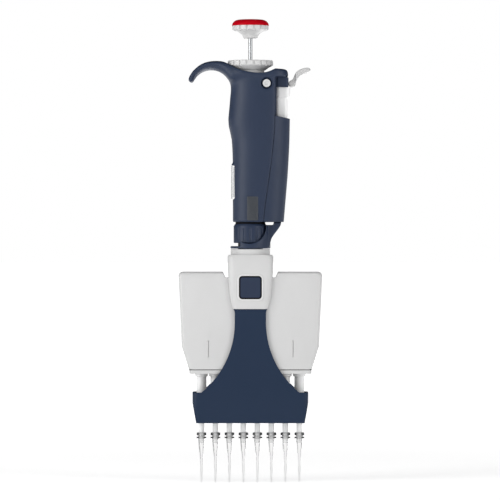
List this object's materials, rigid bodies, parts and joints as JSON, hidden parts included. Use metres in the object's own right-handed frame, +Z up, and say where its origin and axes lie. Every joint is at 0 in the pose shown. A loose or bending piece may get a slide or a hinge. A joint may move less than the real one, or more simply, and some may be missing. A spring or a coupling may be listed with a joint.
{
  "type": "multichannel pipette",
  "caption": "Multichannel pipette: hooked dark blue handle, red-capped push button, white thumbwheel and side tip ejector over a wide white head with a row of clear tips.",
  "frame": {"origin": "on the barrel's axis at the level of the tips' orifices", "axes": "+Z up the barrel's axis to the push button, +X along the row of tips to the ejector's side, -Y to the side with the release button"},
  "size_m": [0.0922, 0.0292, 0.298],
  "materials": {
    "navy_plastic": "satin",
    "white_plastic": "satin",
    "red_plastic": "gloss",
    "clear_plastic": "clear",
    "black_plastic": "matt",
    "steel": "bright",
    "aluminium": "satin",
    "brass": "satin",
    "seal_rubber": "matt"
  },
  "bodies": {
    "handle": {"handle_shell_front": "navy_plastic", "handle_shell_back": "navy_plastic", "rear_cover": "navy_plastic", "counter_window": "clear_plastic", "guide_sleeve": "black_plastic", "nose_spigot": "black_plastic", "coupling_nut": "navy_plastic", "ejector_spring": "steel"},
    "plunger": {"button_cap": "red_plastic", "push_button": "white_plastic", "push_rod": "steel", "rod_foot": "black_plastic"},
    "setting_wheel": {"thumbwheel": "white_plastic", "volume_screw": "brass"},
    "stroke_nut": {"volume_nut": "black_plastic"},
    "counter_tens": {"drum_tens": "white_plastic"},
    "counter_units": {"drum_units": "white_plastic"},
    "counter_tenths": {"drum_tenths": "white_plastic"},
    "lock": {"lock_bolt": "white_plastic"},
    "ejector": {"ejector_paddle": "white_plastic", "ejector_head": "navy_plastic", "ejector_tube": "white_plastic", "ejector_rod": "steel", "ejector_arm": "navy_plastic"},
    "head": {"housing_front": "white_plastic", "housing_back": "white_plastic", "nozzle_plate": "white_plastic", "swivel_stem": "black_plastic", "guide_posts": "steel", "piston_seals": "seal_rubber", "purge_spring": "steel", "nozzle_1": "white_plastic", "nozzle_2": "white_plastic", "nozzle_3": "white_plastic", "nozzle_4": "white_plastic", "nozzle_5": "white_plastic", "nozzle_6": "white_plastic", "nozzle_7": "white_plastic", "nozzle_8": "white_plastic"},
    "piston_carriage": {"piston_crossbar": "aluminium", "pistons": "steel", "drive_rod": "steel"},
    "blow_out_stop": {"purge_washer": "brass", "return_spring": "steel"},
    "tip_pusher": {"ejector_collar": "white_plastic", "ejector_comb": "navy_plastic", "release_spring": "steel"},
    "release": {"release_button": "navy_plastic"},
    "tips": {"tip_1": "clear_plastic", "tip_2": "clear_plastic", "tip_3": "clear_plastic", "tip_4": "clear_plastic", "tip_5": "clear_plastic", "tip_6": "clear_plastic", "tip_7": "clear_plastic", "tip_8": "clear_plastic"}
  },
  "joints": [
    {"name": "plunger_press", "type": "slide", "parent": "handle", "child": "plunger", "axis": [0, 0, -1], "range_m": [0, 0.014], "stiffness_N_per_m": 220, "springref_m": -0.008},
    {"name": "volume_dial", "type": "hinge", "parent": "handle", "child": "setting_wheel", "pos_m": [0, 0, 0.2631], "axis": [0, 0, 1], "range_deg": [-1620, 1800]},
    {"name": "stroke_nut_rise", "type": "slide", "parent": "handle", "child": "stroke_nut", "axis": [0, 0, 1], "range_m": [-0.0055, 0.0061]},
    {"name": "tenths_turn", "type": "hinge", "parent": "handle", "child": "counter_tenths", "pos_m": [0, 0, 0.19], "axis": [0, 0, 1], "range_deg": [-1620, 1800]},
    {"name": "units_turn", "type": "hinge", "parent": "handle", "child": "counter_units", "pos_m": [0, 0, 0.19], "axis": [0, 0, 1], "range_deg": [-162, 180]},
    {"name": "tens_turn", "type": "hinge", "parent": "handle", "child": "counter_tens", "pos_m": [0, 0, 0.19], "axis": [0, 0, 1], "range_deg": [-16.2, 18]},
    {"name": "volume_lock", "type": "slide", "parent": "handle", "child": "lock", "axis": [0, 1, 0], "range_m": [0, 0.003]},
    {"name": "ejector_press", "type": "slide", "parent": "handle", "child": "ejector", "axis": [0, 0, -1], "range_m": [0, 0.01], "stiffness_N_per_m": 260, "springref_m": -0.008, "deforming": ["ejector_spring"]},
    {"name": "head_swivel", "type": "hinge", "parent": "handle", "child": "head", "pos_m": [0, 0, 0.154], "axis": [0, 0, 1], "continuous": true},
    {"name": "piston_drive", "type": "slide", "parent": "head", "child": "piston_carriage", "axis": [0, 0, -1], "range_m": [0, 0.014], "deforming": ["return_spring"]},
    {"name": "blow_out", "type": "slide", "parent": "head", "child": "blow_out_stop", "axis": [0, 0, -1], "range_m": [0, 0.0035], "deforming": ["purge_spring"]},
    {"name": "tip_pusher_slide", "type": "slide", "parent": "head", "child": "tip_pusher", "axis": [0, 0, -1], "range_m": [0, 0.01]},
    {"name": "tips_off", "type": "slide", "parent": "head", "child": "tips", "axis": [0, 0, -1], "range_m": [0, 0.0037]},
    {"name": "comb_release", "type": "slide", "parent": "tip_pusher", "child": "release", "axis": [0, 1, 0], "range_m": [0, 0.0015], "stiffness_N_per_m": 400, "springref_m": -0.002, "deforming": ["release_spring"]}
  ],
  "couplings": [
    {"joint": "stroke_nut_rise", "follows": "volume_dial", "m_per_rad": 0.00019099},
    {"joint": "tenths_turn", "follows": "volume_dial", "ratio": 1},
    {"joint": "units_turn", "follows": "volume_dial", "ratio": 0.1},
    {"joint": "tens_turn", "follows": "volume_dial", "ratio": 0.01},
    {"joint": "piston_drive", "follows": "plunger_press", "ratio": 1},
    {"joint": "blow_out", "follows": "plunger_press", "ratio": 0.25},
    {"joint": "tip_pusher_slide", "follows": "ejector_press", "ratio": 1},
    {"joint": "tips_off", "follows": "ejector_press", "ratio": 0.37}
  ]
}
